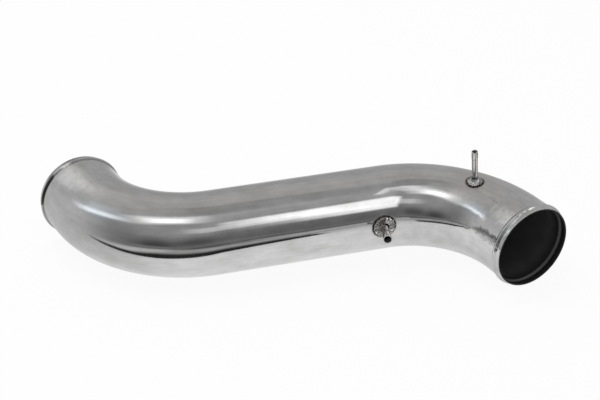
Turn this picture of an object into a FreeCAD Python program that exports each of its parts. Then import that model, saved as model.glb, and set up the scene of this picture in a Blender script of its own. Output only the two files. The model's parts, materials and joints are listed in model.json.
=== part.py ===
import FreeCAD, Part
import math
import os
from collections import namedtuple

# Cold air intake pipe. One thin aluminium tube is bent to an S that lies flat: a straight run in
# the middle, a bend at each end of it, and a short straight end after each bend. A bead is rolled
# into both ends, so that a hose clamp can't slip off. Two small hose nipples stand in holes drilled
# through the wall, and each is held by a ring of weld.
# Lengths are in millimetres and angles in degrees. X runs along the middle run, from the left mouth
# to the right one, Y points away from the side with the front nipple, and Z is up.
# The finished pipe stands on Z = 0, and the centre of its plan is over the origin.

# Tube
tube_od = 76.2
wall = 1.65
run_length = 159.0
bend_radius = 101.6
left_bend_angle = 75.0
right_bend_angle = 75.0
left_end_length = 27.0
right_end_length = 27.0
rim_chamfer = 0.4

# Rolled bead, the same at both ends. Its flanks rise at the flank angle into a round crown.
bead_from_rim = 6.0
bead_width = 6.0
bead_height = 1.7
bead_flank_angle = 36.0

# Front nipple, at the end of the middle run. Its place is measured along the tube's centreline from
# the right mouth, and its clock angle from the top of the tube down towards the front. Its reach is
# from the tube's skin to its mouth, and its lip is a last stretch swaged wider to hold a hose.
front_from_mouth = 170.5
front_clock = 85.0
front_lean = 12.0
front_od = 7.6
front_wall = 0.7
front_reach = 24.5
front_lip_od = 8.2
front_lip_length = 4.0

# Top nipple, on the right bend, square to the tube
top_from_mouth = 71.4
top_clock = 9.0
top_od = 5.4
top_wall = 0.7
top_reach = 33.6
top_lip_od = 5.9
top_lip_length = 7.0

# Both nipples
lip_taper = 0.8
nipple_inside = 1.5
nipple_mouth_chamfer = 0.25
hole_clearance = 0.1

# Weld rings. A ring is a round of overlapping ripples, each one a puddle of filler laid on the one
# before it. Its width is from the nipple's side to its toe, along the tube, its round is the same
# around the tube, and its climb is how far up the nipple it reaches. The height is over the toe's
# end of a ripple.
front_weld_width = 7.4
front_weld_round = 6.3
front_weld_climb = 2.4
front_weld_ripples = 14
top_weld_width = 5.3
top_weld_round = 5.3
top_weld_climb = 5.6
top_weld_ripples = 12
weld_height = 1.6
ripple_round = 3.4
ripple_offset = 0.9

UP = FreeCAD.Vector(0, 0, 1)
ORIGIN = FreeCAD.Vector(0, 0, 0)
RUN_AXIS = FreeCAD.Vector(1, 0, 0)

NIPPLE_SIZES = "from_mouth clock lean od wall reach lip_od lip_length"
WELD_SIZES = "weld_width weld_round weld_climb ripples"
Port = namedtuple("Port", f"{NIPPLE_SIZES} {WELD_SIZES}")


def polar(centre, radius, angle):
    """The point at that angle from the first axis on a circle in the X-Z plane."""
    a = math.radians(angle)
    return FreeCAD.Vector(centre.x + radius * math.cos(a), 0, centre.z + radius * math.sin(a))


def arc_edge(centre, radius, start, end):
    """An arc in the X-Z plane from one angle to another."""
    middle = polar(centre, radius, (start + end) / 2)
    return Part.Arc(polar(centre, radius, start), middle, polar(centre, radius, end)).toShape()


def line_edge(start, end):
    return Part.LineSegment(start, end).toShape()


def revolved(edges):
    """The solid that a closed outline in the X-Z plane sweeps about the X axis."""
    face = Part.Face(Part.Wire(Part.__sortEdges__(edges)))
    return face.revolve(ORIGIN, RUN_AXIS, 360)


# Centreline

def arm_points(bend_angle, end_length):
    """Start, middle and end of the right bend's centreline, and the centre of the mouth."""
    bend_start = FreeCAD.Vector(run_length / 2, 0, 0)
    centre = bend_start - FreeCAD.Vector(0, bend_radius, 0)

    def on_bend(angle):
        a = math.radians(angle)
        return centre + FreeCAD.Vector(math.sin(a), math.cos(a), 0) * bend_radius

    a = math.radians(bend_angle)
    heading = FreeCAD.Vector(math.cos(a), -math.sin(a), 0)
    bend_end = on_bend(bend_angle)
    return bend_start, on_bend(bend_angle / 2), bend_end, bend_end + heading * end_length


def opposite(point):
    """The left arm is the right one turned half a turn about the middle of the pipe."""
    return FreeCAD.Vector(-point.x, -point.y, point.z)


def centreline_edges():
    """The tube's centreline as edges in order, from the left mouth to the right one."""
    start, middle, end, mouth = arm_points(right_bend_angle, right_end_length)
    left_start, left_middle, left_end, left_mouth = (
        opposite(p) for p in arm_points(left_bend_angle, left_end_length)
    )
    return [
        line_edge(left_mouth, left_end),
        Part.Arc(left_end, left_middle, left_start).toShape(),
        line_edge(left_start, start),
        Part.Arc(start, middle, end).toShape(),
        line_edge(end, mouth),
    ]


def station(from_mouth):
    """Point and heading of the centreline at a distance from the right mouth."""
    remaining = from_mouth
    for edge in reversed(centreline_edges()):
        if remaining <= edge.Length:
            parameter = edge.getParameterByLength(edge.Length - remaining)
            return edge.valueAt(parameter), edge.tangentAt(parameter)
        remaining -= edge.Length
    return edge.valueAt(edge.FirstParameter), edge.tangentAt(edge.FirstParameter)


# Tube

def wall_line(offset, end_length):
    """One face of an end's wall, from the bend to the rim's chamfer.

    The bead is drawn on the middle of the wall as two straight flanks and a round crown, and each
    face is that line moved by its offset, so the bead keeps the wall's thickness.
    """
    middle = (tube_od - wall) / 2
    z = middle + offset
    bead_x = end_length - bead_from_rim
    flank = math.radians(bead_flank_angle)
    half_width = bead_width / 2
    spare_rise = half_width * math.tan(flank) - bead_height
    crown_radius = spare_rise * math.cos(flank) / (1 - math.cos(flank))
    crown = FreeCAD.Vector(bead_x, 0, middle + bead_height - crown_radius)
    radius = crown_radius + offset
    crown_start = 90 + bead_flank_angle
    crown_end = 90 - bead_flank_angle
    foot = half_width + offset * math.tan(flank / 2)
    first_foot = FreeCAD.Vector(bead_x - foot, 0, z)
    last_foot = FreeCAD.Vector(bead_x + foot, 0, z)
    return [
        line_edge(FreeCAD.Vector(0, 0, z), first_foot),
        line_edge(first_foot, polar(crown, radius, crown_start)),
        arc_edge(crown, radius, crown_start, crown_end),
        line_edge(polar(crown, radius, crown_end), last_foot),
        line_edge(last_foot, FreeCAD.Vector(end_length - rim_chamfer, 0, z)),
    ]


def end_piece(end_length):
    """A straight end with its bead and rim, along the X axis, with the mouth at the far end."""
    outer = tube_od / 2
    inner = outer - wall
    chamfer_x = end_length - rim_chamfer
    rim = [
        FreeCAD.Vector(chamfer_x, 0, outer),
        FreeCAD.Vector(end_length, 0, outer - rim_chamfer),
        FreeCAD.Vector(end_length, 0, inner + rim_chamfer),
        FreeCAD.Vector(chamfer_x, 0, inner),
    ]
    edges = wall_line(wall / 2, end_length) + wall_line(-wall / 2, end_length)
    edges += [line_edge(a, b) for a, b in zip(rim, rim[1:])]
    edges.append(line_edge(FreeCAD.Vector(0, 0, outer), FreeCAD.Vector(0, 0, inner)))
    return revolved(edges)


def disc(radius, at):
    circle = Part.makeCircle(radius, at, RUN_AXIS)
    return Part.Face(Part.Wire(circle))


def bent(face, bend_angle):
    """The right bend that a face at the end of the run sweeps about the bend's centre."""
    centre = FreeCAD.Vector(run_length / 2, -bend_radius, 0)
    return face.revolve(centre, -UP, bend_angle)


def on_right_arm(shape, bend_angle):
    """Moves a shape made along the X axis to the end of the right bend."""
    bend_end = arm_points(bend_angle, 0)[2]
    return shape.transformed(
        FreeCAD.Placement(bend_end, FreeCAD.Rotation(UP, -bend_angle)).toMatrix()
    )


def turned(shape):
    """Half a turn about the middle of the pipe."""
    return shape.transformed(FreeCAD.Placement(ORIGIN, FreeCAD.Rotation(UP, 180)).toMatrix())


def arm(bend_angle, end_length):
    """A bend and the straight end after it, on the right."""
    start = FreeCAD.Vector(run_length / 2, 0, 0)
    ring = disc(tube_od / 2, start).cut(disc(tube_od / 2 - wall, start))
    bend = bent(ring.Faces[0], bend_angle)
    return bend.fuse(on_right_arm(end_piece(end_length), bend_angle))


def bare_tube():
    """The whole bent tube with its beads, before its holes are drilled."""
    start = FreeCAD.Vector(-run_length / 2, 0, 0)
    ring = disc(tube_od / 2, start).cut(disc(tube_od / 2 - wall, start))
    run = ring.Faces[0].extrude(RUN_AXIS * run_length)
    right = arm(right_bend_angle, right_end_length)
    left = turned(arm(left_bend_angle, left_end_length))
    return run.multiFuse([right, left]).removeSplitter()


def outer_form():
    """The tube filled solid, without beads. The weld rings are fitted to its skin."""
    left_start = FreeCAD.Vector(-run_length / 2, 0, 0)
    right_start = FreeCAD.Vector(run_length / 2, 0, 0)
    run = disc(tube_od / 2, left_start).extrude(RUN_AXIS * run_length)
    bend = bent(disc(tube_od / 2, right_start), right_bend_angle)
    end = Part.makeCylinder(tube_od / 2, right_end_length, ORIGIN, RUN_AXIS)
    return run.multiFuse([bend, on_right_arm(end, right_bend_angle)])


# Ports

def port_frame(port):
    """Point on the tube's skin, the skin's normal there, and the nipple's direction."""
    point, heading = station(port.from_mouth)
    side = heading.cross(UP)
    clock = math.radians(port.clock)
    lean = math.radians(port.lean)
    normal = UP * math.cos(clock) + side * math.sin(clock)
    direction = normal * math.cos(lean) - heading * math.sin(lean)
    return point + normal * (tube_od / 2), normal, direction


def along_port(shape, port):
    """Moves a shape made along the X axis so that it stands on the skin, along the nipple."""
    foot, _, direction = port_frame(port)
    return shape.transformed(
        FreeCAD.Placement(foot, FreeCAD.Rotation(RUN_AXIS, direction)).toMatrix()
    )


def depth_inside(port):
    """Length of the nipple below the skin: through the wall, and a little way into the tube."""
    lean = math.radians(port.lean)
    return (wall + nipple_inside) / math.cos(lean) + port.od / 2 * math.sin(lean)


def nipple(port):
    """A short thin tube with an even wall, swaged wider at its mouth."""
    start = -depth_inside(port)
    lip_start = port.reach - port.lip_length
    stations = [start, lip_start - lip_taper, lip_start]
    radii = [port.od / 2, port.od / 2, port.lip_od / 2]
    outside = [FreeCAD.Vector(x, 0, r) for x, r in zip(stations, radii)]
    inside = [FreeCAD.Vector(x, 0, r - port.wall) for x, r in zip(stations, radii)]
    lip = port.lip_od / 2
    outside.append(FreeCAD.Vector(port.reach - nipple_mouth_chamfer, 0, lip))
    outside.append(FreeCAD.Vector(port.reach, 0, lip - nipple_mouth_chamfer))
    inside.append(FreeCAD.Vector(port.reach, 0, lip - port.wall))
    outline = outside + inside[::-1]
    edges = [line_edge(a, b) for a, b in zip(outline, outline[1:] + outline[:1])]
    return along_port(revolved(edges), port)


def port_hole(port):
    """The hole drilled through the tube's wall for a nipple."""
    depth = depth_inside(port) + port.od
    drill = Part.makeCylinder(port.od / 2 + hole_clearance, 2 * depth, RUN_AXIS * -depth, RUN_AXIS)
    return along_port(drill, port)


def ripple(port, foot, normal, along, turn, path):
    """One puddle of a weld ring: a finger with a ball end, kept to its own sector of the ring.

    It lies out from the nipple along the skin, with its ball end at the ring's toe and its crest
    rising to the climb at the nipple's side. It is set down on the tube's skin where it lies, so
    each puddle follows the curve of the tube, and it is a little off the middle of its sector, so
    that it ends in a step on the puddle before it.
    """
    outward = FreeCAD.Rotation(normal, turn).multVec(along)
    a = math.radians(turn)
    width = math.hypot(port.weld_width * math.cos(a), port.weld_round * math.sin(a))
    sink = ripple_round - weld_height
    finger = width - math.sqrt(ripple_round * ripple_round - sink * sink)
    rise_of_crest = port.weld_climb + sink
    steepest = math.acos(ripple_round / math.hypot(rise_of_crest, finger))
    slope = steepest - math.atan2(finger, rise_of_crest)
    over_toe = foot + outward * (port.od / 2 + finger)
    on_path = path.distToShape(Part.Vertex(over_toe))[1][0][0]
    rise = (over_toe - on_path).normalize()
    travel = rise.cross(outward).normalize()
    out = travel.cross(rise)
    ball = on_path + rise * (tube_od / 2 - sink) + travel * ripple_offset

    tail = (finger + port.od / 2 + ripple_round * math.sin(slope)) / math.cos(slope)
    tail_foot = FreeCAD.Vector(-tail, 0, 0)
    tail_edge = FreeCAD.Vector(-tail, 0, ripple_round)
    outline = [
        line_edge(tail_foot, tail_edge),
        line_edge(tail_edge, FreeCAD.Vector(0, 0, ripple_round)),
        arc_edge(ORIGIN, ripple_round, 90, 0),
        line_edge(FreeCAD.Vector(ripple_round, 0, 0), tail_foot),
    ]
    way = FreeCAD.Rotation(travel, math.degrees(slope)).multVec(out)
    puddle = revolved(outline).transformed(
        FreeCAD.Placement(ball, FreeCAD.Rotation(RUN_AXIS, way)).toMatrix()
    )

    half_sector = 180.0 / port.ripples
    depth = 2 * ripple_round + port.weld_climb
    corners = [foot - normal * depth]
    for side in (-half_sector, half_sector):
        edge_way = FreeCAD.Rotation(normal, turn + side).multVec(along)
        corners.append(corners[0] + edge_way * (2 * (port.od + port.weld_width)))
    corners.append(corners[0])
    sector = Part.Face(Part.makePolygon(corners)).extrude(normal * (2 * depth))
    return puddle.common(sector)


def weld_ring(port, skin):
    """The round of ripples that joins a nipple to the tube."""
    foot, normal, _ = port_frame(port)
    heading = station(port.from_mouth)[1]
    path = Part.Wire(centreline_edges())
    turns = [360.0 * i / port.ripples for i in range(port.ripples)]
    puddles = [ripple(port, foot, normal, heading, turn, path) for turn in turns]
    ring = puddles[0].multiFuse(puddles[1:])
    shaft = Part.makeCylinder(port.od / 2, 2 * port.reach, RUN_AXIS * -port.reach, RUN_AXIS)
    return ring.cut(skin).cut(along_port(shaft, port))


# Pipe

front_port = Port(
    from_mouth=front_from_mouth,
    clock=front_clock,
    lean=front_lean,
    od=front_od,
    wall=front_wall,
    reach=front_reach,
    lip_od=front_lip_od,
    lip_length=front_lip_length,
    weld_width=front_weld_width,
    weld_round=front_weld_round,
    weld_climb=front_weld_climb,
    ripples=front_weld_ripples,
)
top_port = Port(
    from_mouth=top_from_mouth,
    clock=top_clock,
    lean=0.0,
    od=top_od,
    wall=top_wall,
    reach=top_reach,
    lip_od=top_lip_od,
    lip_length=top_lip_length,
    weld_width=top_weld_width,
    weld_round=top_weld_round,
    weld_climb=top_weld_climb,
    ripples=top_weld_ripples,
)

tube = bare_tube().cut(port_hole(front_port)).cut(port_hole(top_port))
skin = outer_form()
pieces = {
    "intake_tube": tube,
    "front_port_nipple": nipple(front_port),
    "front_port_weld": weld_ring(front_port, skin),
    "top_port_nipple": nipple(top_port),
    "top_port_weld": weld_ring(top_port, skin),
}

plan = tube.optimalBoundingBox(False, False)
to_stand = FreeCAD.Vector(-plan.Center.x, -plan.Center.y, -plan.ZMin)

os.makedirs("parts", exist_ok=True)
for name, shape in pieces.items():
    shape.translate(to_stand)
    shape.exportStep(f"parts/{name}.step")
    print(name, "solids", len(shape.Solids), "valid", shape.isValid(), "volume", round(shape.Volume))
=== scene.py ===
# %% [markdown]
# # A polished intake pipe in a light tent
# The object is a cold air intake pipe: one length of thin aluminium tube, bent twice to a flat S,
# with a bead rolled into each end and two small hose nipples welded in. The CAD model gives the
# sizes and places. This lesson gives the pipe its finished surfaces, and builds the studio round
# it, because a polished pipe is a mirror and looks like whatever stands about it.

# %% Load the frame
import json
import math

import bmesh
import bpy
from mathutils import Matrix, Vector
from mathutils.bvhtree import BVHTree


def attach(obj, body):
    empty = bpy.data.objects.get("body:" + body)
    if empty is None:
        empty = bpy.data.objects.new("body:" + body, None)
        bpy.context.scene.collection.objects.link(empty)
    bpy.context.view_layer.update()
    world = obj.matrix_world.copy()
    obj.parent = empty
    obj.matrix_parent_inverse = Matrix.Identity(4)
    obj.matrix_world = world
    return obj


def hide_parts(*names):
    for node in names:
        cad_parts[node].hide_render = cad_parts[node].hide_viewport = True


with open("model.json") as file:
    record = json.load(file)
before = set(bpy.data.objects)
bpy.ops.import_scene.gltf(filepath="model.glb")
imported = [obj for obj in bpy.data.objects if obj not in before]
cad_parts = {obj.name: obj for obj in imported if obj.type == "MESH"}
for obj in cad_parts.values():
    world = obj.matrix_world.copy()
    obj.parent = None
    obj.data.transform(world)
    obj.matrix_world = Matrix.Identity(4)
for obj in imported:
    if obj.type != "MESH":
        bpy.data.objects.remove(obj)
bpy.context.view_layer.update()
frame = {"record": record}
MM = 0.001
ORIGIN = Vector((0, 0, 0))
UP = Vector((0, 0, 1))

# %% [markdown]
# The frame holds what a hose fits on: the two ends of the tube and the lips of the two nipples.
# Their places, headings and radii are read from the record, so nothing here can drift away from
# the CAD model. The tube's centreline is then a half run, a bend about an upright axis and a
# short straight end, and the other arm is the same turned half a turn.

# %% Sizes of the tube
mounts = {m["name"]: m for m in frame["record"]["mounts"]}
land = mounts["right_end"]
heading = Vector(land["axis"]).normalized()
tube_radius = land["dims"]["r_mm"] * MM
wall = 1.65 * MM
rim_chamfer = 0.4 * MM
bend_radius = 101.6 * MM
end_length = 27 * MM
bead_from_rim = 6 * MM
bead_width = 6 * MM
bead_height = 1.7 * MM

mouth = Vector(land["pos_m"]) + heading * (land["dims"]["length_mm"] * MM / 2 + rim_chamfer)
bend_angle = math.acos(heading.x)
outward = Vector((-heading.y, heading.x, 0))
bend_end = mouth - heading * end_length
bend_centre = bend_end - outward * bend_radius
axis_height = mouth.z
half_run = bend_centre.x
print(f"half run {half_run / MM:.1f} mm, bend {math.degrees(bend_angle):.1f} degrees")


# %% A place on the bent tube, told as on a straight one
def unbent(point):
    """Distance along the centreline from the pipe's middle, then sideways, then up."""
    arm = 1 if point.x >= 0 else -1
    flat = Vector((arm * point.x, arm * point.y, 0))
    spoke = flat - Vector((bend_centre.x, bend_centre.y, 0))
    turn = math.atan2(spoke.x, spoke.y)
    if flat.x <= half_run:
        along, side = flat.x, flat.y
    elif turn <= bend_angle:
        along, side = half_run + bend_radius * turn, spoke.length - bend_radius
    else:
        past = flat - Vector((bend_end.x, bend_end.y, 0))
        along = half_run + bend_radius * bend_angle + past.dot(heading)
        side = past.dot(outward)
    return Vector((arm * along, arm * side, point.z - axis_height))


# %% [markdown]
# The tube is one ring of points that is pushed along the whole way: down the run, round the bend,
# over the bead to the rim, then back inside with the wall between. A curve with a round bevel
# would bend as well, but it has no beads and no wall. Pushing and spinning one ring keeps the
# wall even, as bending a real tube does, and gives long clean faces that mirror without ripples.
# The bead is a raised band that a roller pushes out from inside, so the inner wall has a groove
# under it. Only one arm is made: half a turn of it is the other.

# %% Push a ring of edges
ROUND = 144
# Points that are nearer than a hair to each other are one point.
HAIR = 0.01 * MM


def push(bm, ring, move, material, scale=1.0, centre=None):
    """Extrudes a ring of edges by a move and scales the new ring about its own centre."""
    made = bmesh.ops.extrude_edge_only(bm, edges=ring)["geom"]
    points = [g for g in made if isinstance(g, bmesh.types.BMVert)]
    bmesh.ops.translate(bm, verts=points, vec=move)
    if centre is not None:
        shift = Matrix.Translation(-centre)
        bmesh.ops.scale(bm, verts=points, vec=(scale, scale, scale), space=shift)
    for face in (g for g in made if isinstance(g, bmesh.types.BMFace)):
        face.material_index = material
    fresh = set(points)
    return [g for g in made if isinstance(g, bmesh.types.BMEdge) and set(g.verts) <= fresh]


# %% Spin a ring of edges round the bend
BEND_STEPS = 60


def spin(bm, ring, axis, material):
    """Turns a ring through the bend, about the bend's centre."""
    before = set(bm.faces)
    made = bmesh.ops.spin(bm, geom=ring, cent=bend_centre, axis=axis, dvec=ORIGIN,
                          angle=bend_angle, steps=BEND_STEPS, use_duplicate=False)
    for face in set(bm.faces) - before:
        face.material_index = material
    return [g for g in made["geom_last"] if isinstance(g, bmesh.types.BMEdge)]


# %% The wall's line at an end
BEAD_STEPS = 18
RIM_STEPS = 4
OUTSIDE, INSIDE = 0, 1


def bead_rise(from_mouth):
    """How far the wall is pushed out: a smooth swelling with soft feet."""
    place = abs(from_mouth - bead_from_rim) / (bead_width / 2)
    return bead_height * (0.5 + 0.5 * math.cos(math.pi * min(place, 1.0)))


def wall_stations(radius):
    """Distances from the mouth and radii, from the bend's end out to the rim."""
    first = bead_from_rim + bead_width / 2
    steps = [first - bead_width * i / BEAD_STEPS for i in range(BEAD_STEPS + 1)]
    return [(d, radius + bead_rise(d)) for d in steps]


def rim_stations():
    """The rim from the outer skin to the inner one, its two corners rounded."""
    middle = tube_radius - wall / 2
    half_wall = wall / 2 - rim_chamfer
    turns = [math.pi / 2 * i / RIM_STEPS for i in range(RIM_STEPS + 1)]
    outer = [(rim_chamfer * (1 - math.sin(t)), middle + half_wall + rim_chamfer * math.cos(t))
             for t in turns]
    inner = [(d, 2 * middle - r) for d, r in reversed(outer)]
    return outer + inner


# %% Walk along the straight end
def walk_end(bm, ring, stations, start, material):
    """Pushes a ring through a list of distances from the mouth and radii."""
    here, size = start
    for distance, radius in stations:
        centre = mouth - heading * distance
        ring = push(bm, ring, heading * (here - distance), material, radius / size, centre)
        here, size = distance, radius
    return ring, (here, size)


# %% One arm, out along the skin and back inside
RUN_STEPS = 8
inner_radius = tube_radius - wall

bm = bmesh.new()
circle = bmesh.ops.create_circle(bm, segments=ROUND, radius=tube_radius, cap_ends=False)
facing_run = Matrix.Rotation(math.pi / 2, 3, "Y")
bmesh.ops.rotate(bm, verts=circle["verts"], cent=ORIGIN, matrix=facing_run)
bmesh.ops.translate(bm, verts=circle["verts"], vec=UP * axis_height)
ring = list(bm.edges)
for _ in range(RUN_STEPS):
    ring = push(bm, ring, Vector((half_run / RUN_STEPS, 0, 0)), OUTSIDE)
ring = spin(bm, ring, -UP, OUTSIDE)
ring, at = walk_end(bm, ring, wall_stations(tube_radius), (end_length, tube_radius), OUTSIDE)
ring, at = walk_end(bm, ring, rim_stations()[:RIM_STEPS + 1], at, OUTSIDE)
ring, at = walk_end(bm, ring, rim_stations()[RIM_STEPS + 1:], at, INSIDE)
ring, at = walk_end(bm, ring, reversed(wall_stations(inner_radius)), at, INSIDE)
ring, at = walk_end(bm, ring, [(end_length, inner_radius)], at, INSIDE)
ring = spin(bm, ring, UP, INSIDE)
for _ in range(RUN_STEPS):
    ring = push(bm, ring, Vector((-half_run / RUN_STEPS, 0, 0)), INSIDE)
print("one arm", len(bm.faces), "faces")

# %% The other arm
other = bmesh.ops.duplicate(bm, geom=bm.verts[:] + bm.edges[:] + bm.faces[:])["geom"]
other_points = [g for g in other if isinstance(g, bmesh.types.BMVert)]
half_turn = Matrix.Rotation(math.pi, 3, "Z")
bmesh.ops.rotate(bm, verts=other_points, cent=ORIGIN, matrix=half_turn)
bmesh.ops.remove_doubles(bm, verts=bm.verts, dist=HAIR)
bmesh.ops.recalc_face_normals(bm, faces=bm.faces)
open_edges = [e for e in bm.edges if len(e.link_faces) != 2]
print("tube", len(bm.faces), "faces,", len(open_edges), "open edges")


# %% A bmesh becomes a piece
def piece_from(bm, name, materials):
    """A smooth object at the origin, made of a bmesh."""
    mesh = bpy.data.meshes.new(name)
    bm.to_mesh(mesh)
    bm.free()
    mesh.shade_smooth()
    for material in materials:
        mesh.materials.append(material)
    piece = bpy.data.objects.new(name, mesh)
    bpy.context.scene.collection.objects.link(piece)
    return piece


# %% [markdown]
# A finish is worked out by nodes, and node sums are easier to read as ordinary sums. The small
# class below wraps a node's output, so that adding or multiplying two outputs adds the Math node
# that does it. A recipe starts a node tree afresh and adds any other kind of node to it. Many
# marks on the pipe, and most lamps round it, are soft-edged patches: a number that is 1 inside
# the patch and falls smoothly to 0 round it.

# %% Sums of node outputs
def feed(entry, value):
    """Links a flow to a node's input, or sets the input to a plain value."""
    if isinstance(value, Flow):
        entry.id_data.links.new(value.socket, entry)
    else:
        entry.default_value = value


class Flow:
    """What comes out of a node, with arithmetic."""

    def __init__(self, socket):
        self.socket = socket

    def maths(self, operation, first, second=0.0):
        node = self.socket.id_data.nodes.new("ShaderNodeMath")
        node.operation = operation
        feed(node.inputs[0], first)
        feed(node.inputs[1], second)
        return Flow(node.outputs[0])

    def __add__(self, other):
        return self.maths("ADD", self, other)

    def __radd__(self, other):
        return self.maths("ADD", other, self)

    def __sub__(self, other):
        return self.maths("SUBTRACT", self, other)

    def __rsub__(self, other):
        return self.maths("SUBTRACT", other, self)

    def __mul__(self, other):
        return self.maths("MULTIPLY", self, other)

    def __rmul__(self, other):
        return self.maths("MULTIPLY", other, self)


# %% A recipe of nodes
class Recipe:
    """A node tree that is being written."""

    def __init__(self, owner):
        owner.use_nodes = True
        self.name = owner.name
        self.tree = owner.node_tree
        self.tree.nodes.clear()

    def node(self, kind, settings=None, inputs=None, output=0):
        """Adds a node: its settings first, then the values or links of its inputs."""
        node = self.tree.nodes.new("ShaderNode" + kind)
        for name, value in (settings or {}).items():
            setattr(node, name, value)
        for name, value in (inputs or {}).items():
            feed(node.inputs[name], value)
        return Flow(node.outputs[output]) if node.outputs else None

    def smooth(self, value, low, high, start=0.0, end=1.0):
        """A smooth step from start to end as the value goes from low to high."""
        spans = {"Value": value, "From Min": low, "From Max": high, "To Min": start, "To Max": end}
        return self.node("MapRange", {"interpolation_type": "SMOOTHSTEP"}, spans)

    def noise(self, place, stretch, detail=3.0, roughness=0.5):
        """Noise from 0 to 1, with so many features a metre along each axis of the place."""
        grid = self.node("VectorMath", {"operation": "MULTIPLY"}, {0: place, 1: stretch})
        spread = {"Vector": grid, "Scale": 1.0, "Detail": detail, "Roughness": roughness}
        return self.node("TexNoise", {}, spread)

    def blend(self, share, first, second):
        """A colour between two others."""
        return self.node("Mix", {"data_type": "RGBA"}, {0: share, 6: first, 7: second}, 2)

    def attribute(self, name, output="Vector"):
        """What each point of the piece remembers under that name."""
        return self.node("Attribute", {"attribute_name": name}, {}, output)

    def bump(self, height):
        """The surface's slope from a height in metres."""
        return self.node("Bump", {}, {"Strength": 1.0, "Distance": 1.0, "Height": height})

    def finish(self, shader, kind="OutputMaterial"):
        """Links the shader to the tree's output."""
        self.node(kind, {}, {"Surface": shader})
        print(self.name, "has", len(self.tree.nodes), "nodes")


def grey(level, warmth=0.0):
    """A grey with a little more red than blue."""
    return (level * (1 + warmth), level, level * (1 - warmth), 1)


# %% Soft-edged patches, and shares
def share_of(recipe, direction, axis):
    """How much of a direction goes along an axis."""
    spans = {0: direction, 1: axis}
    return recipe.node("VectorMath", {"operation": "DOT_PRODUCT"}, spans, "Value")


def patch(recipe, value, start, end, soft_start, soft_end):
    """1 from start to end, with soft edges of the given widths."""
    rise = recipe.smooth(value, start - soft_start, start)
    fall = recipe.smooth(value, end, end + soft_end, 1.0, 0.0)
    return rise * fall


def between(share, first, second):
    """The first value at share 0 and the second at share 1."""
    return (1.0 - share) * first + share * second


# %% [markdown]
# The outside is polished aluminium. A buffing wheel was run along the tube, so its faint lines
# run lengthwise, and the shine is a little cloudy where the wheel pressed less. Lines along plain
# X would cut across the bends, so the noise reads a place on the straightened tube, which every
# point remembers. The bends mirror a little unevenly, for the wall was stretched there, and near
# a mouth it also has shallow dents, and marks from the roller that pushed out the bead. Round
# each weld the metal is dull, dark and a little brown, because the weld's heat and smut can't be
# polished away close to the ring. The foot of each bead is darkened with a painted shade, and the
# left bead has a narrow painted dark reflection.

# %% The ports' facts
LIP_END = 0.25 * MM


def port(lip_name, ripples, **sizes):
    """Where a nipple stands, from its lip in the record, and its sizes, given in millimetres."""
    lip = mounts[lip_name]
    direction = Vector(lip["axis"]).normalized()
    tip = Vector(lip["pos_m"]) + direction * (lip["dims"]["length_mm"] * MM / 2 + LIP_END)
    facts = {name: size * MM for name, size in sizes.items()}
    facts["radius"] = facts["od"] / 2
    facts["lip_radius"] = lip["dims"]["r_mm"] * MM
    facts["direction"] = direction
    facts["foot"] = tip - direction * sizes["reach"] * MM
    facts["ripples"] = ripples
    return facts


ports = {
    "front_port": port("front_hose_lip", od=7.6, wall=0.7, reach=24.5, lip_length=4,
                       weld_width=7.4, weld_round=6.3, weld_climb=2.4, ripples=14,
                       smut=1.6, haze=3),
    "top_port": port("top_hose_lip", od=5.4, wall=0.7, reach=33.6, lip_length=7,
                     weld_width=5.3, weld_round=5.3, weld_climb=5.6, ripples=12,
                     smut=1.6, haze=26),
}
for name, facts in ports.items():
    print(name, "stands at", [round(c / MM, 1) for c in facts["foot"]])


# %% Places on the polished tube
def near_welds(recipe, reach):
    """1 at the toe of each weld ring, falling to 0 at the reach of that name."""
    place = recipe.node("TexCoord", {}, {}, "Object")
    total = 0.0
    for facts in ports.values():
        spans = {0: place, 1: facts["foot"]}
        distance = recipe.node("VectorMath", {"operation": "DISTANCE"}, spans, "Value")
        toe = facts["radius"] + (facts["weld_width"] + facts["weld_round"]) / 2
        total = recipe.smooth(distance, toe, toe + facts[reach], 1.0, 0.0) + total
    return total


def along_tube(recipe, place):
    """Metres along the centreline from the pipe's middle, the same to both sides."""
    along = recipe.node("SeparateXYZ", {}, {0: place}, "X")
    return recipe.node("Math", {"operation": "ABSOLUTE"}, {0: along})


def from_mouth(recipe, place):
    """Metres along the centreline from the nearer mouth."""
    return half_run + bend_radius * bend_angle + end_length - along_tube(recipe, place)


# %% A painted dark reflection on the left bead
REFLECTION_CLOCK = Vector((0, -0.888, 0.460))


def painted_bead_reflection(recipe, place, way_in):
    """1 where a dark reflection is painted on the left bead."""
    over = share_of(recipe, place, REFLECTION_CLOCK)
    along = recipe.node("SeparateXYZ", {}, {0: place}, "X")
    left_end = recipe.smooth(along, -0.2, -0.1, 1.0, 0.0)
    band = patch(recipe, way_in, 4.6 * MM, 8.2 * MM, 0.8 * MM, 1.0 * MM)
    return band * left_end * recipe.smooth(over, 0.93 * tube_radius, 0.97 * tube_radius)


# %% The polish's colour
# How light the metal is, and how many clouds, patches and lines a metre holds, along and across.
ALUMINIUM = 0.70
CLOUDS, PATCHES, LINES = (26, 60, 60), (70, 110, 110), (7, 420, 420)
# A brown heat tint, and a near black for the smut round the welds and for painted shade.
BURNT, DIRT_AND_SHADE = grey(ALUMINIUM * 0.8, 0.12), grey(0.10, 0.02)


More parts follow.
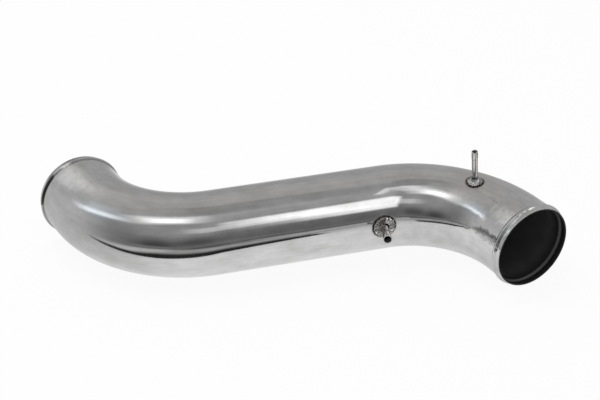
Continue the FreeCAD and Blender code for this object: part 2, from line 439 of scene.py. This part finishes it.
def polish_colour(recipe, place, way_in, clouds, lines, haze):
    """A cloudy grey, brown and sooty round the welds, with painted shade at each bead's foot and a
    painted dark reflection on the left bead.
    """
    patches = recipe.noise(place, PATCHES, 4.0, 0.6)
    smut = near_welds(recipe, "smut")
    # A painted shade at the foot of each bead.
    foot = patch(recipe, way_in, 7.6 * MM, 8.2 * MM, 0.8 * MM, 1.4 * MM)
    shade = (clouds - 0.5) * 1.7 + (patches - 0.5) * 1.2 + (lines - 0.5) * 0.6 + 0.5
    colour = recipe.blend(shade, grey(ALUMINIUM * 0.86, 0.008), grey(ALUMINIUM * 1.18, -0.003))
    colour = recipe.blend(haze * clouds * 0.5, colour, BURNT)
    # Real smut round the welds, painted shade at each bead's foot, and a painted dark reflection
    # on the left bead.
    dirt_and_shade = smut * 0.75 + foot * clouds + painted_bead_reflection(recipe, place, way_in) * 0.9
    return recipe.blend(dirt_and_shade, colour, DIRT_AND_SHADE)


# %% The polish's unevenness
WAVES, DENTS = (22, 36, 36), (80, 80, 80)
STROKES, ROLLER_MARKS = (5, 150, 150), (500, 60, 60)


def polish_height(recipe, place, way_in):
    """Metres: waves in the bends, dents near the mouths, the wheel's strokes, roller marks."""
    past_run = along_tube(recipe, place)
    stretched = recipe.smooth(past_run, half_run * 0.7, half_run * 1.5, 0.05 * MM, 0.16 * MM)
    near_mouth = recipe.smooth(way_in, 20 * MM, 75 * MM, 0.70 * MM, 0.0)
    rolled = patch(recipe, way_in, 2 * MM, 10 * MM, 1 * MM, 8 * MM)
    waves = recipe.noise(place, WAVES, 1.0) * stretched
    dents = recipe.noise(place, DENTS, 2.0) * near_mouth
    strokes = recipe.noise(place, STROKES, 2.0) * (0.016 * MM)
    marks = recipe.noise(place, ROLLER_MARKS, 2.0) * rolled * (0.22 * MM)
    return waves + dents + strokes + marks


# %% Polished aluminium
def polished_aluminium():
    material = bpy.data.materials.new("polished_aluminium")
    recipe = Recipe(material)
    place = recipe.attribute("unbent")
    way_in = from_mouth(recipe, place)
    clouds = recipe.noise(place, CLOUDS, 5.0, 0.6)
    lines = recipe.noise(place, LINES, 4.0, 0.6)
    haze = near_welds(recipe, "haze")
    recipe.finish(recipe.node("BsdfPrincipled", {}, {
        "Base Color": polish_colour(recipe, place, way_in, clouds, lines, haze),
        "Metallic": 1.0,
        "Roughness": 0.03 + clouds * 0.07 + lines * 0.04 + haze * 0.30,
        "Normal": recipe.bump(polish_height(recipe, place, way_in)),
    }))
    return material


# %% [markdown]
# The inside has a black coating. It could be a thin tube of its own, but paint has no thickness
# to speak of, so it is a second finish on the inner faces. It is satin: it gives back a soft grey
# ring where the groove under the bead turns towards the light, and is almost black deeper in. It
# also covers the cut edge of the rim. The first centimetre behind the rim is the blackest, but
# for a thin painted highlight along the groove. A faint orange-peel bump and a little dust are all
# its texture.

# %% Black coating
# The coating's black; a dusty grey, which also paints the highlight along the groove; the blackest
# near the rim.
COATING, DUST_AND_HIGHLIGHT, BLACKEST = grey(0.034), grey(0.085), grey(0.008)
PEEL, DUST = (700, 700, 700), (60, 90, 90)


def black_coating():
    material = bpy.data.materials.new("black_coating")
    recipe = Recipe(material)
    place = recipe.attribute("unbent")
    way_in = from_mouth(recipe, place)
    peel = recipe.noise(place, PEEL, 2.0)
    dust = recipe.noise(place, DUST, 5.0, 0.65)
    behind_rim = recipe.smooth(way_in, 8 * MM, 22 * MM, 0.85, 0.0)
    # A painted highlight: a thin lighter line along the groove under the bead.
    groove_highlight = patch(recipe, way_in, 7.4 * MM, 7.6 * MM, 1.4 * MM, 1.8 * MM)
    colour = recipe.blend(dust, COATING, DUST_AND_HIGHLIGHT)
    colour = recipe.blend(behind_rim, colour, BLACKEST)
    recipe.finish(recipe.node("BsdfPrincipled", {}, {
        "Base Color": recipe.blend(groove_highlight, colour, DUST_AND_HIGHLIGHT),
        "Specular IOR Level": 0.3,
        "Roughness": 0.36 + dust * 0.16,
        "Normal": recipe.bump(peel * (0.010 * MM)),
    }))
    return material


# %% A boring bar
HOLE_CLEARANCE = 0.1 * MM
BAR_LENGTH = 20 * MM


def boring_bar(facts):
    """A rod as thick as a nipple's hole, standing where the nipple goes."""
    rod = bmesh.new()
    radius = facts["radius"] + HOLE_CLEARANCE
    bmesh.ops.create_cone(rod, cap_ends=True, segments=48, radius1=radius, radius2=radius,
                          depth=BAR_LENGTH)
    turn = facts["direction"].to_track_quat("Z", "Y").to_matrix().to_4x4()
    bmesh.ops.transform(rod, matrix=Matrix.Translation(facts["foot"]) @ turn, verts=rod.verts)
    return piece_from(rod, "boring_bar", [])


# %% Bore the holes
def bored(piece, bars):
    """The piece with each bar's shape taken out of it for good."""
    for bar in bars:
        cut = piece.modifiers.new("hole", "BOOLEAN")
        cut.operation = "DIFFERENCE"
        cut.solver = "EXACT"
        cut.object = bar
    graph = bpy.context.evaluated_depsgraph_get()
    mesh = bpy.data.meshes.new_from_object(piece.evaluated_get(graph))
    piece.modifiers.clear()
    piece.data = mesh
    for bar in bars:
        bpy.data.objects.remove(bar)
    return piece


# %% The tube
tube = piece_from(bm, "polished_tube", [polished_aluminium(), black_coating()])
skin_mesh = bmesh.new()
skin_mesh.from_mesh(tube.data)
skin = BVHTree.FromBMesh(skin_mesh)
skin_mesh.free()
tube = bored(tube, [boring_bar(facts) for facts in ports.values()])
tube.data.shade_smooth()
straight = tube.data.attributes.new("unbent", "FLOAT_VECTOR", "POINT")
for vertex in tube.data.vertices:
    straight.data[vertex.index].vector = unbent(vertex.co)
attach(tube, "root")
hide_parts("intake_tube")
print("tube after boring:", len(tube.data.polygons), "faces")


# %% [markdown]
# A nipple is a little tube that goes through the wall and a little way inside. The last few
# millimetres are swaged wider, so that a hose grips. It could be joined from cylinders, but then
# the lip and the bore would each have to be cut to fit, so its outline is drawn once, as half a
# section, and spun a full turn. The sharp corners are bevelled, as a deburred tube's are.
# Its finish has fine lines along it, from the die that the tube was drawn through. The bore is
# duller, and the cut end is a pale, plain ring. Each point remembers its place on the lathe, so
# that one finish suits a nipple that stands in any direction.

# %% A nipple's outline
NIPPLE_ROUND = 72
LIP_TAPER = 0.8 * MM
BELOW_SKIN = 3.4 * MM


def nipple_outline(facts):
    """Radius and height of each corner, up the outside and down the bore."""
    lip_start = facts["reach"] - facts["lip_length"]
    heights = [-BELOW_SKIN, lip_start - LIP_TAPER, lip_start, facts["reach"]]
    radii = [facts["radius"], facts["radius"], facts["lip_radius"], facts["lip_radius"]]
    outside = list(zip(radii, heights))
    bore = [(r - facts["wall"], h) for r, h in reversed(outside)]
    return outside + bore


# %% Spin an outline and round its corners
SHARP = math.radians(12)


def turned(outline, corner_round):
    """Spins a closed outline a full turn about the Z axis and rounds its corners."""
    bm = bmesh.new()
    points = [bm.verts.new((r, 0, h)) for r, h in outline]
    edges = [bm.edges.new(pair) for pair in zip(points, points[1:] + points[:1])]
    bmesh.ops.spin(bm, geom=edges, cent=ORIGIN, axis=UP, dvec=ORIGIN, angle=2 * math.pi,
                   steps=NIPPLE_ROUND, use_merge=True, use_duplicate=False)
    bmesh.ops.remove_doubles(bm, verts=bm.verts, dist=0.1 * HAIR)
    bmesh.ops.recalc_face_normals(bm, faces=bm.faces)
    corners = [e for e in bm.edges if e.calc_face_angle(0.0) > SHARP]
    corners = [e for e in corners if abs(e.verts[0].co.z - e.verts[1].co.z) < HAIR]
    bmesh.ops.bevel(bm, geom=corners, offset=corner_round, offset_type="OFFSET", segments=3,
                    profile=0.5, affect="EDGES", material=-1)
    return bm


# %% What a nipple's points remember
def mark_turning(bm, facts):
    """Each point remembers its place on the lathe, and whether it is in the bore or on the cut."""
    bench = bm.verts.layers.float_vector.new("bench")
    bore = bm.verts.layers.float.new("bore")
    cut = bm.verts.layers.float.new("cut")
    for vertex in bm.verts:
        size = math.hypot(vertex.co.x, vertex.co.y)
        flared = vertex.co.z > facts["reach"] - facts["lip_length"] - LIP_TAPER / 2
        outer = facts["lip_radius"] if flared else facts["radius"]
        vertex[bench] = vertex.co
        vertex[bore] = float(size < outer - 0.6 * facts["wall"])
        vertex[cut] = float(vertex.co.z > facts["reach"] - HAIR)


# %% A nipple in its place
DEBURRED = 0.16 * MM


def nipple(name, facts, materials):
    bm = turned(nipple_outline(facts), DEBURRED)
    mark_turning(bm, facts)
    turn = facts["direction"].to_track_quat("Z", "Y").to_matrix().to_4x4()
    bmesh.ops.transform(bm, matrix=Matrix.Translation(facts["foot"]) @ turn, verts=bm.verts)
    return piece_from(bm, name, materials)


# %% Drawn aluminium
DRAWN_LINES, DRAWN_PATCHES = (330, 330, 12), (160, 160, 120)
CUT_END = grey(0.72, 0.01)


def turned_aluminium():
    material = bpy.data.materials.new("turned_aluminium")
    recipe = Recipe(material)
    place = recipe.attribute("bench")
    lines = recipe.noise(place, DRAWN_LINES, 2.0)
    patches = recipe.noise(place, DRAWN_PATCHES, 3.0)
    bore = recipe.attribute("bore", "Fac")
    cut = recipe.attribute("cut", "Fac")
    shade = recipe.smooth(lines + (patches - 0.5) * 0.3, 0.34, 0.66)
    colour = recipe.blend(shade, grey(0.50, 0.01), grey(0.74, 0.01))
    height = lines * (0.004 * MM) + patches * (0.002 * MM)
    recipe.finish(recipe.node("BsdfPrincipled", {}, {
        "Base Color": recipe.blend(cut, colour, CUT_END),
        "Metallic": 1.0 - cut * 0.7,
        "Roughness": 0.09 + patches * 0.06 + bore * 0.30,
        "Normal": recipe.bump(height),
    }))
    return material


# %% Both nipples
nipple_metal = turned_aluminium()
for name, facts in ports.items():
    piece = nipple(name + "_hose_nipple", facts, [nipple_metal])
    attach(piece, "root")
    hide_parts(name + "_nipple")
    print(piece.name, len(piece.data.polygons), "faces")


# %% [markdown]
# A weld ring is a round of small puddles of filler, each laid a little on the one before, so it
# shows crescents. A wavy torus would float over the curved skin at some places and sink into it
# at others, so the ring starts flat: one circle is pushed outwards, ring by ring. Then every
# point is dropped on the tube's skin and raised by the puddles' height. The valleys between the
# puddles are painted with shade, and so are the ring's toe and its root at the nipple, and a
# steeper ring is painted darker. So each point remembers its painted shade and how far out it
# lies.

# %% The tube's heading at a port
def tube_way(point):
    """Along the run, and square to the spoke in the right bend."""
    if point.x <= half_run:
        return Vector((1, 0, 0))
    spoke = Vector((point.x - bend_centre.x, point.y - bend_centre.y, 0))
    return spoke.cross(UP).normalized()


# %% The form of a puddle
CRESCENT = 0.55
STEEP_FLANK, GENTLE_FLANK = 0.16, 0.34
SWELLING, UNEVENNESS = 0.16, 0.14


def puddle_at(around, share, ripples):
    """A point's puddle, and how far round it the point is, from 0 at a valley to 1 at the next."""
    bow = CRESCENT * (1 - (2 * share - 1) ** 2)
    count, place = divmod(around * ripples / (2 * math.pi) + bow, 1.0)
    return count % ripples, place


def valley(place):
    """1 in the valley between two puddles, 0 on a puddle's back, with one flank steeper."""
    return max(0.0, 1 - min(place / STEEP_FLANK, (1 - place) / GENTLE_FLANK)) ** 1.5


def puff(puddle, place):
    """How much a puddle swells in its middle, each one by a little more or less."""
    uneven = UNEVENNESS * math.sin(2.4 * puddle + 0.8)
    return (SWELLING + uneven) * math.sin(math.pi * place)


# %% The height and the width of a ring
WELD_CROWN = 1.6 * MM
TOE_ROUND = 3.4 * MM


def ring_height(from_toe, span, climb):
    """The ring's height over the skin: a round toe, then a slope up to the nipple."""
    sink = TOE_ROUND - WELD_CROWN
    toe_reach = math.sqrt(TOE_ROUND ** 2 - sink ** 2)
    if from_toe < toe_reach:
        return math.sqrt(TOE_ROUND ** 2 - (toe_reach - from_toe) ** 2) - sink
    return WELD_CROWN + (climb - WELD_CROWN) * (from_toe - toe_reach) / (span - toe_reach)


def width_towards(facts, way):
    """The ring's width in a direction: it is wider along the tube than around it."""
    tube_line = tube_way(facts["foot"])
    along, across = way.dot(tube_line), way.cross(tube_line).length
    return math.hypot(facts["weld_width"] * along, facts["weld_round"] * across)


# %% A flat ring
RIPPLE_STEPS = 14
ACROSS_STEPS = 20
INTO_NIPPLE = 0.15 * MM


def flat_ring(facts):
    """Rings of points, from a little inside the nipple's skin to the weld ring's full width."""
    bm = bmesh.new()
    inner = facts["radius"] - INTO_NIPPLE
    segments = facts["ripples"] * RIPPLE_STEPS
    bmesh.ops.create_circle(bm, segments=segments, radius=inner, cap_ends=False)
    edges = bm.edges[:]
    size = inner
    for step in range(1, ACROSS_STEPS + 1):
        wider = inner + facts["weld_width"] * step / ACROSS_STEPS
        edges = push(bm, edges, ORIGIN, 0, wider / size, ORIGIN)
        size = wider
    return bm, inner


# %% The ring is set down on the tube
SCALLOP = 0.9 * MM
LOOK_DOWN_FROM = 12 * MM
VALLEY_DEPTH = 0.42
# How much more painted shade a steeper ring gets.
STEEP_SHADE = 0.28


def set_down(bm, inner, facts):
    """Drops each point of a flat ring on the tube's skin and raises it by its puddle's height."""
    painted_shade = bm.verts.layers.float.new("valley")
    toe = bm.verts.layers.float.new("toe")
    direction = facts["direction"]
    turn = direction.to_track_quat("Z", "Y")
    for vertex in bm.verts:
        around = math.atan2(vertex.co.y, vertex.co.x)
        share = (vertex.co.length - inner) / facts["weld_width"]
        puddle, place = puddle_at(around, share, facts["ripples"])
        lobe = puddle_at(around, 1.0, facts["ripples"])[1]
        way = turn @ vertex.co.normalized()
        span = width_towards(facts, way) + facts["radius"] - inner
        reach = span - SCALLOP * abs(2 * lobe - 1) ** 3
        start = facts["foot"] + way * (inner + share * reach) + direction * LOOK_DOWN_FROM
        spot, normal, _, _ = skin.ray_cast(start, -direction)
        height = ring_height((1 - share) * reach, reach, facts["weld_climb"])
        dip = valley(place)
        # The puddles flatten out at the nipple and at the toe.
        fade = min(1.0, 6 * share) * min(1.0, 8 * (1 - share))
        form = 1 - VALLEY_DEPTH * dip * fade + puff(puddle, place) * fade
        steep = facts["weld_climb"] / facts["weld_width"]
        vertex.co = spot + normal * height * form
        # Painted shade: most in the valleys between puddles, and more all over a steeper ring.
        vertex[painted_shade] = dip * min(1.0, 4 * share) + STEEP_SHADE * steep
        vertex[toe] = share


# %% A weld ring
SUNK = 0.6 * MM


def weld_ring(name, facts, material):
    bm, inner = flat_ring(facts)
    set_down(bm, inner, facts)
    rims = [e for e in bm.edges if len(e.link_faces) == 1]
    below = bmesh.ops.extrude_edge_only(bm, edges=rims)["geom"]
    sunk = [g for g in below if isinstance(g, bmesh.types.BMVert)]
    bmesh.ops.translate(bm, verts=sunk, vec=-facts["direction"] * SUNK)
    bmesh.ops.bridge_loops(bm, edges=[e for e in bm.edges if len(e.link_faces) == 1])
    bmesh.ops.recalc_face_normals(bm, faces=bm.faces)
    open_edges = [e for e in bm.edges if len(e.link_faces) != 2]
    print(name, len(bm.faces), "faces,", len(open_edges), "open edges")
    return piece_from(bm, name, [material])


# %% Weld metal
# The weld's own dark and bright metal, and the near black of its painted shade.
DARK_METAL, BRIGHT_METAL, SHADE_BLACK = grey(0.28, 0.03), grey(0.90, 0.01), grey(0.030, 0.05)
GRAINS, STAINS = (900, 900, 900), (150, 150, 150)


def weld_metal():
    material = bpy.data.materials.new("weld_metal")
    recipe = Recipe(material)
    place = recipe.node("TexCoord", {}, {}, "Object")
    # How much painted shade each point was given when the ring was set down.
    painted_shade = recipe.attribute("valley", "Fac")
    outward = recipe.attribute("toe", "Fac")
    grains = recipe.noise(place, GRAINS, 2.0)
    stains = recipe.noise(place, STAINS, 1.0)
    # Painted shade at the ring's toe and at its root by the nipple, added to the valleys' painted
    # shade and to real stains.
    toe = recipe.smooth(outward, 0.76, 0.96)
    root = recipe.smooth(outward, 0.02, 0.12, 1.0, 0.0)
    dirt_and_shade = painted_shade * 0.7 + toe + root * 0.7 + (stains - 0.5) * 1.4
    dirt_and_shade = recipe.smooth(dirt_and_shade, 0.2, 0.85)
    clean = recipe.blend(recipe.smooth(stains, 0.36, 0.64), DARK_METAL, BRIGHT_METAL)
    height = grains * (0.003 * MM) + stains * (0.06 * MM)
    recipe.finish(recipe.node("BsdfPrincipled", {}, {
        "Base Color": recipe.blend(dirt_and_shade, clean, SHADE_BLACK),
        "Metallic": 1.0,
        "Roughness": 0.14 + dirt_and_shade * 0.35 + grains * 0.08,
        "Normal": recipe.bump(height),
    }))
    return material


# %% Both weld rings
filler = weld_metal()
for name, facts in ports.items():
    piece = weld_ring(name + "_weld_ring", facts, filler)
    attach(piece, "root")
    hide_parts(name + "_weld")


# %% [markdown]
# The studio is known from what the pipe mirrors. Lamps and cards could be built as objects, but
# soft-edged patches on a dome are easier to move until each reflection lies where it should. A
# patch is placed by its direction from the pipe, told as an azimuth, from the camera's side
# towards the right, and a height over the horizon. The helpers below measure those angles with
# nodes.

# %% Directions round the pipe
def heading_at(azimuth, height):
    """The direction at an azimuth and a height in degrees."""
    turn, rise = math.radians(azimuth), math.radians(height)
    flat = math.cos(rise)
    return Vector((math.sin(turn) * flat, -math.cos(turn) * flat, math.sin(rise)))


def angle_from(recipe, direction, pole):
    """How many degrees a direction stands off the plane square to a pole."""
    radians = recipe.node("Math", {"operation": "ARCSINE"}, {0: share_of(recipe, direction, pole)})
    return radians * math.degrees(1)


def angle_along(recipe, direction, start, side):
    """How many degrees a direction has turned from a start towards a side."""
    spans = {0: share_of(recipe, direction, side), 1: share_of(recipe, direction, start)}
    return recipe.node("Math", {"operation": "ARCTAN2"}, spans) * math.degrees(1)


def azimuth_of(recipe, direction):
    """How many degrees a direction has turned from the camera's side towards the right."""
    return angle_along(recipe, direction, heading_at(0, 0), heading_at(90, 0))


# %% [markdown]
# The pipe lies on a white table. The camera sees it white, and a small share of it is a plain
# matt white that takes the pipe's soft shadow. A mirror finds it less even: the lit board ends in
# front of the pipe, and then come a black gap, a grey strip and the dark room by the camera. The
# pipe's lower side shows these as a thin black line under a grey band. Each smooth step below
# gives metres along X, or beyond the board's edge, or degrees of azimuth, and then how light the
# table is at either end of the step.

# %% The lit board and the studio's floor
def board_level(recipe, place, across):
    """The lit board near the pipe, and the studio's floor far off."""
    near = recipe.smooth(across, -0.231, -0.137, 0.63, 0.80)
    near = near + recipe.smooth(across, 0, 0.3, 0, -0.22)
    around = azimuth_of(recipe, place)
    left = recipe.smooth(around, -160, -140, 0.43, 0.54)
    front = recipe.smooth(around, -112, -63, 0, -0.355)
    right = recipe.smooth(around, 75, 105, 0, 0.245)
    distance = recipe.node("VectorMath", {"operation": "LENGTH"}, {0: place}, "Value")
    return between(recipe.smooth(distance, 0.07, 0.55), near, left + front + right)


# %% The gap and the strip in front of the board
def front_level(recipe, beyond, across):
    """The gap and the strip beyond the board's edge, which are open towards the right."""
    narrow = recipe.smooth(beyond, 0.020, 0.048, 0.02, 0.55)
    wide = recipe.smooth(beyond, 0.033, 0.106, 0.02, 0.39)
    gap = between(recipe.smooth(across, -0.27, -0.20), narrow, wide)
    strip = gap * recipe.smooth(beyond, 0.152, 0.379, 1.0, 0.30)
    shade = patch(recipe, beyond, 0.084, 0.128, 0.038, 0.038) * 0.34
    floor = recipe.smooth(beyond, 0.03, 0.90, 0.51, 0.10) * (1.0 - shade)
    return between(recipe.smooth(across, 0.048, 0.065), strip, floor)


# %% What a mirror finds on the table
BOARD_EDGE = (Vector((-0.598, 0.133, 0)), Vector((0.398, -0.345, 0)))


def mirrored_table(recipe):
    """How light a mirror finds each place on the table."""
    place = recipe.node("TexCoord", {}, {}, "Object")
    across = recipe.node("SeparateXYZ", {}, {0: place}, "X")
    run = (BOARD_EDGE[1] - BOARD_EDGE[0]).normalized()
    out = Vector((run.y, -run.x, 0))
    beyond = share_of(recipe, place, out) - BOARD_EDGE[0].dot(out)
    past = recipe.smooth(beyond, -0.002, 0.004) * recipe.smooth(across, -0.42, -0.28)
    return between(past, board_level(recipe, place, across), front_level(recipe, beyond, across))


# %% The table's white
TABLE_REACH = 30.0
MATT_WHITE = grey(0.86)
SHADOW_SHARE = 0.08


def rays_that_look(recipe):
    """1 for a ray from the camera, off a mirror or through glass."""
    total = 0.0
    for kind in ("Is Camera Ray", "Is Glossy Ray", "Is Transmission Ray"):
        total = recipe.node("LightPath", {}, {}, kind) + total
    return recipe.smooth(total, 0.0, 1.0)


def table_white():
    material = bpy.data.materials.new("table_white")
    recipe = Recipe(material)
    mirror = recipe.node("LightPath", {}, {}, "Is Glossy Ray")
    level = between(mirror, 1.0, mirrored_table(recipe))
    matt = recipe.node("BsdfDiffuse", {}, {"Color": MATT_WHITE})
    bright = recipe.node("Emission", {}, {"Color": level})
    share = rays_that_look(recipe) * between(mirror, 1.0 - SHADOW_SHARE, 1.0)
    recipe.finish(recipe.node("MixShader", {}, {0: share, 1: matt, 2: bright}))
    return material


# %% Things of the studio
def staged(bm, name, material):
    """A thing of the studio, which isn't part of the pipe."""
    thing = piece_from(bm, name, [material])
    print(name, "stands in the studio")
    return thing


def unseen_but_mirrored(thing):
    """Hides a thing of the studio from everything but mirrors."""
    thing.visible_camera = False
    thing.visible_diffuse = False
    thing.visible_transmission = False
    thing.visible_volume_scatter = False
    thing.visible_shadow = False


# %% The table
bm = bmesh.new()
bmesh.ops.create_grid(bm, x_segments=1, y_segments=1, size=TABLE_REACH)
staged(bm, "table", table_white())

# %% [markdown]
# Everything above the table is a light tent: a grey dome with long strip lamps over the pipe,
# panels to the right of the camera and a dark side where the camera stands. Between them lie
# soft glows and shades. A dome is enough for that, because the pipe is small beside it. Only
# mirrors see the dome.

# %% The tent's lamps
# Azimuth from and to, and their soft edges; height from and to, and their soft edges; light.
PANELS = (
    (19.5, 60, 7.5, 20, 29, 50.2, 5.4, 5.4, 0.93),
    (2.3, 19.3, 34.7, 4, 36.7, 44.6, 3.4, 3.4, 0.30),
)
# Azimuth and height of each end; how far to each side, and the soft edges; soft ends; light.
STRIPS = (
    (-55.5, 56.9, -23.4, 64.3, 0.7, 11.9, 7.8, 7.3, 21.9, 23.1, 0.58),
    (-34.5, 70, -52.6, 67, -3, 6.7, 0.7, 1.5, 12.3, 15.7, 0.66),
    (-89.8, 41.9, -102, 34.4, -0.3, 0.7, 8.1, 5.7, 18.8, 20.3, 0.67),
)
# Azimuth and height; radius of the even middle and of the whole; light, or shade if below 0.
GLOWS = (
    (-8, 86, 4, 48, -0.03),
    (-37.8, 2.4, 2.1, 32.3, -0.155),
    (24.3, 18.9, 8.9, 32.4, -0.10),
    (-7.9, 13.2, 1.9, 20.6, -0.145),
    (-107.7, 9.5, 3.8, 42.3, 0.11),
    (-151.8, 30.8, 3.3, 26.5, 0.325),
    (-162, 9.9, 7.6, 26.8, -0.227),
    (178.8, 4.7, 10.6, 49.2, -0.054),
    (-83.1, 23.4, 11.3, 35.4, -0.058),
    (-101.5, 43.4, 2.2, 16.6, 0.13),
)
# Where the cloth is a little blue or brown: a glow each, and its colour.
TINTS = (
    ((-97, 38, 6, 24, 1.0), grey(1.0, -0.06)),
    ((-170, 62, 12, 34, 1.0), grey(0.98, 0.025)),
)
DARKEST = 0.02


# %% The light of each kind of lamp
def panel_light(recipe, around, up, row):
    """A lamp with upright sides."""
    left, right, soft_left, soft_right, low, high, soft_low, soft_high, light = row
    wide = patch(recipe, around, left, right, soft_left, soft_right)
    return wide * patch(recipe, up, low, high, soft_low, soft_high) * light


def strip_light(recipe, way, row):
    """A long lamp from one direction to another."""
    start, end = heading_at(*row[0:2]), heading_at(*row[2:4])
    side_from, side_to, soft_from, soft_to, soft_start, soft_end, light = row[4:]
    pole = start.cross(end).normalized()
    aside = angle_from(recipe, way, pole)
    along = angle_along(recipe, way, start, pole.cross(start))
    length = math.degrees(start.angle(end))
    run = patch(recipe, along, 0, length, soft_start, soft_end)
    return run * patch(recipe, aside, side_from, side_to, soft_from, soft_to) * light


def glow_light(recipe, way, row):
    """A round soft glow, or a shade."""
    azimuth, height, even, whole, light = row
    off = 90.0 - angle_from(recipe, way, heading_at(azimuth, height))
    return recipe.smooth(off, even, whole, light, 0.0)


# %% The tent's own grey
def tent_ground(recipe, around, up):
    """The tent's own grey: a dark room on the camera's side, cloth elsewhere, a darker roof."""
    room = recipe.smooth(up, 0, 50, 0.226, 0.334)
    walls = between(patch(recipe, around, -58, 15.8, 50.7, 29.3), 0.434, room)
    return between(recipe.smooth(up, 68, 74.5), walls, recipe.smooth(around, 0, 70, 0.40, 0.34))


# %% All the tent's light
def tent_light():
    material = bpy.data.materials.new("tent_light")
    recipe = Recipe(material)
    place = recipe.node("TexCoord", {}, {}, "Object")
    way = recipe.node("VectorMath", {"operation": "NORMALIZE"}, {0: place})
    up = angle_from(recipe, way, UP)
    around = azimuth_of(recipe, way)
    level = tent_ground(recipe, around, up)
    for row in PANELS:
        level = level + panel_light(recipe, around, up, row)
    for row in STRIPS:
        level = level + strip_light(recipe, way, row)
    for row in GLOWS:
        level = level + glow_light(recipe, way, row)
    level = recipe.node("Math", {"operation": "MAXIMUM"}, {0: level, 1: DARKEST})
    tint = grey(1.0)
    for row, colour in TINTS:
        tint = recipe.blend(glow_light(recipe, way, row), tint, colour)
    light = recipe.node("VectorMath", {"operation": "SCALE"}, {0: tint, "Scale": level})
    recipe.finish(recipe.node("Emission", {}, {"Color": light}))
    return material


# %% The tent
bm = bmesh.new()
bmesh.ops.create_uvsphere(bm, u_segments=64, v_segments=32, radius=6.0)
bmesh.ops.reverse_faces(bm, faces=bm.faces)
unseen_but_mirrored(staged(bm, "tent", tent_light()))

# %% [markdown]
# One small lamp strip hangs close over the right bend. A bend is a curved mirror, so that strip,
# which is no longer than a finger, shows as a long bright line with a sharp end. It is clear
# where it isn't lit, and only mirrors see it.

# %% The light of a strip close over the bend
STRIP_PLACE = Vector((0.1063, -0.0494, 0.1727))
STRIP_LONG = Vector((0.347, 0.918, 0.190)).normalized()
STRIP_SIDE = Vector((-0.926, 0.304, 0.222)).normalized()


def strip_lamp():
    material = bpy.data.materials.new("strip_lamp")
    recipe = Recipe(material)
    place = recipe.node("TexCoord", {}, {}, "Object")
    along = share_of(recipe, place, STRIP_LONG) - STRIP_PLACE.dot(STRIP_LONG)
    aside = share_of(recipe, place, STRIP_SIDE) - STRIP_PLACE.dot(STRIP_SIDE)
    wide = patch(recipe, aside, -4.2 * MM, 4.0 * MM, 2 * MM, 0.8 * MM)
    lit = wide * patch(recipe, along, -14 * MM, 13 * MM, 8 * MM, 7 * MM)
    level = recipe.smooth(aside, -1 * MM, 3 * MM, 0.73, 0.95)
    clear = recipe.node("BsdfTransparent")
    glow = recipe.node("Emission", {}, {"Color": level})
    recipe.finish(recipe.node("MixShader", {}, {0: lit, 1: clear, 2: glow}))
    return material


# %% The strip on its clear sheet
SHEET_REACH = 35 * MM
bm = bmesh.new()
bmesh.ops.create_grid(bm, x_segments=1, y_segments=1, size=SHEET_REACH)
facing = Matrix((STRIP_LONG, STRIP_SIDE, STRIP_LONG.cross(STRIP_SIDE))).transposed().to_4x4()
bmesh.ops.transform(bm, matrix=Matrix.Translation(STRIP_PLACE) @ facing, verts=bm.verts)
unseen_but_mirrored(staged(bm, "strip_lamp", strip_lamp()))

# %% [markdown]
# What lights matt things is plain: an even white world and one broad soft lamp overhead, at a
# level at which a colour renders about as it is written. The camera and the mirrors find the
# world as white as paper. The camera stands where the photo was taken from, to the left of the
# front nipple and above it.

# %% World
WORLD_LIGHT = 0.75
world = bpy.data.worlds.new("studio")
bpy.context.scene.world = world
recipe = Recipe(world)
strength = between(rays_that_look(recipe), WORLD_LIGHT, 1.0)
backdrop = recipe.node("Background", {}, {"Color": grey(1.0), "Strength": strength})
recipe.finish(backdrop, "OutputWorld")

# %% Lamp
LAMP_PLACE = Vector((-0.5, 0.3, 1.6))
lamp_data = bpy.data.lights.new("soft_lamp", "AREA")
lamp_data.shape = "DISK"
lamp_data.size = 1.2
lamp_data.energy = 9
lamp = bpy.data.objects.new("soft_lamp", lamp_data)
lamp.location = LAMP_PLACE
lamp.rotation_euler = LAMP_PLACE.to_track_quat("Z", "Y").to_euler()
lamp.visible_glossy = False
bpy.context.scene.collection.objects.link(lamp)
print("lamp of", lamp_data.energy, "watts at", [round(c, 2) for c in LAMP_PLACE])

# %% Camera
CAMERA_PLACE = Vector((-0.277268, -0.972035, 0.674389))
CAMERA_AIM = Vector((0.010766, 0.032154, 0.0398))
camera_data = bpy.data.cameras.new("camera")
camera_data.lens = 78.995
camera_data.sensor_width = 36
camera = bpy.data.objects.new("camera", camera_data)
camera.location = CAMERA_PLACE
camera.rotation_euler = (CAMERA_PLACE - CAMERA_AIM).to_track_quat("Z", "Y").to_euler()
bpy.context.scene.collection.objects.link(camera)
bpy.context.scene.camera = camera
bpy.context.scene.view_settings.view_transform = "Standard"
print(f"camera {(CAMERA_PLACE - CAMERA_AIM).length:.2f} m from the pipe")
